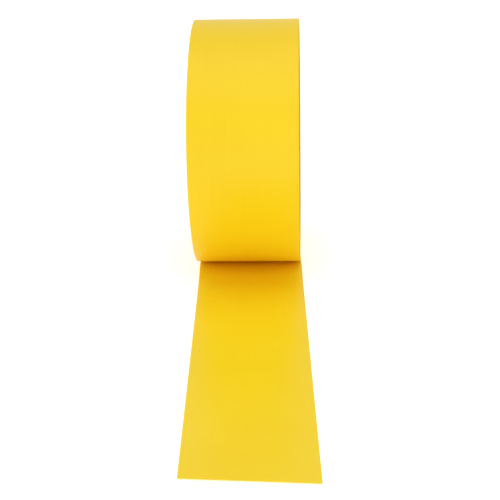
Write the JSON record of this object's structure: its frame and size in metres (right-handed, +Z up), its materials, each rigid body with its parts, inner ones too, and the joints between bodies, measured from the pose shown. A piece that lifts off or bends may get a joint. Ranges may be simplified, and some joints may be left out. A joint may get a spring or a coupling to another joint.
{
  "type": "masking tape roll",
  "caption": "Roll of wide smooth masking tape on a cardboard core, standing on edge, with a loose tail of tape run out flat in front.",
  "frame": {"origin": "centre of the core's bore, on the roll's axis, half way along it", "axes": "+X along the roll's axis, -Y the way the loose tail runs out, +Z up as the roll stands on its outer turn"},
  "size_m": [0.0587, 0.2762, 0.1182],
  "materials": {
    "film_backing": "satin yellow film",
    "adhesive": "clear tacky coat over the yellow film",
    "wound_tape": "slit edges of many turns of yellow film",
    "core_liner": "smooth kraft paper",
    "core_board": "grey-brown paperboard"
  },
  "bodies": {
    "roll": {"core_inner_liner": "core_liner", "core_board_ply_1": "core_board", "core_board_ply_2": "core_board", "core_board_ply_3": "core_board", "core_board_ply_4": "core_board", "core_board_ply_5": "core_board", "core_outer_liner": "core_liner", "wound_tape_pack": "wound_tape", "outer_turn_adhesive": "adhesive", "outer_turn_backing": "film_backing"},
    "tail_lead": {"tail_lead_backing": "film_backing", "tail_lead_adhesive": "adhesive"},
    "tail_strip_1": {"tail_strip_1_backing": "film_backing", "tail_strip_1_adhesive": "adhesive"},
    "tail_strip_2": {"tail_strip_2_backing": "film_backing", "tail_strip_2_adhesive": "adhesive"},
    "tail_strip_3": {"tail_strip_3_backing": "film_backing", "tail_strip_3_adhesive": "adhesive"},
    "tail_strip_4": {"tail_strip_4_backing": "film_backing", "tail_strip_4_adhesive": "adhesive"},
    "tail_strip_5": {"tail_strip_5_backing": "film_backing", "tail_strip_5_adhesive": "adhesive"}
  },
  "joints": [
    {"name": "tape_unwind", "type": "hinge", "parent": "roll", "child": "tail_lead", "pos_m": [0, 0, 0], "axis": [-1, 0, 0], "continuous": true},
    {"name": "tail_bend_1", "type": "hinge", "parent": "tail_lead", "child": "tail_strip_1", "pos_m": [0.0017, -0.04397, -0.05905], "axis": [-0.9992, -0.0387, 0], "range_deg": [0, 30]},
    {"name": "tail_bend_2", "type": "hinge", "parent": "tail_strip_1", "child": "tail_strip_2", "pos_m": [0.00304, -0.07834, -0.05905], "axis": [-0.9992, -0.0387, 0], "range_deg": [0, 30]},
    {"name": "tail_bend_3", "type": "hinge", "parent": "tail_strip_2", "child": "tail_strip_3", "pos_m": [0.00437, -0.11271, -0.05905], "axis": [-0.9992, -0.0387, 0], "range_deg": [0, 30]},
    {"name": "tail_bend_4", "type": "hinge", "parent": "tail_strip_3", "child": "tail_strip_4", "pos_m": [0.0057, -0.14709, -0.05905], "axis": [-0.9992, -0.0387, 0], "range_deg": [0, 30]},
    {"name": "tail_bend_5", "type": "hinge", "parent": "tail_strip_4", "child": "tail_strip_5", "pos_m": [0.00703, -0.18146, -0.05905], "axis": [-0.9992, -0.0387, 0], "range_deg": [0, 30]}
  ]
}
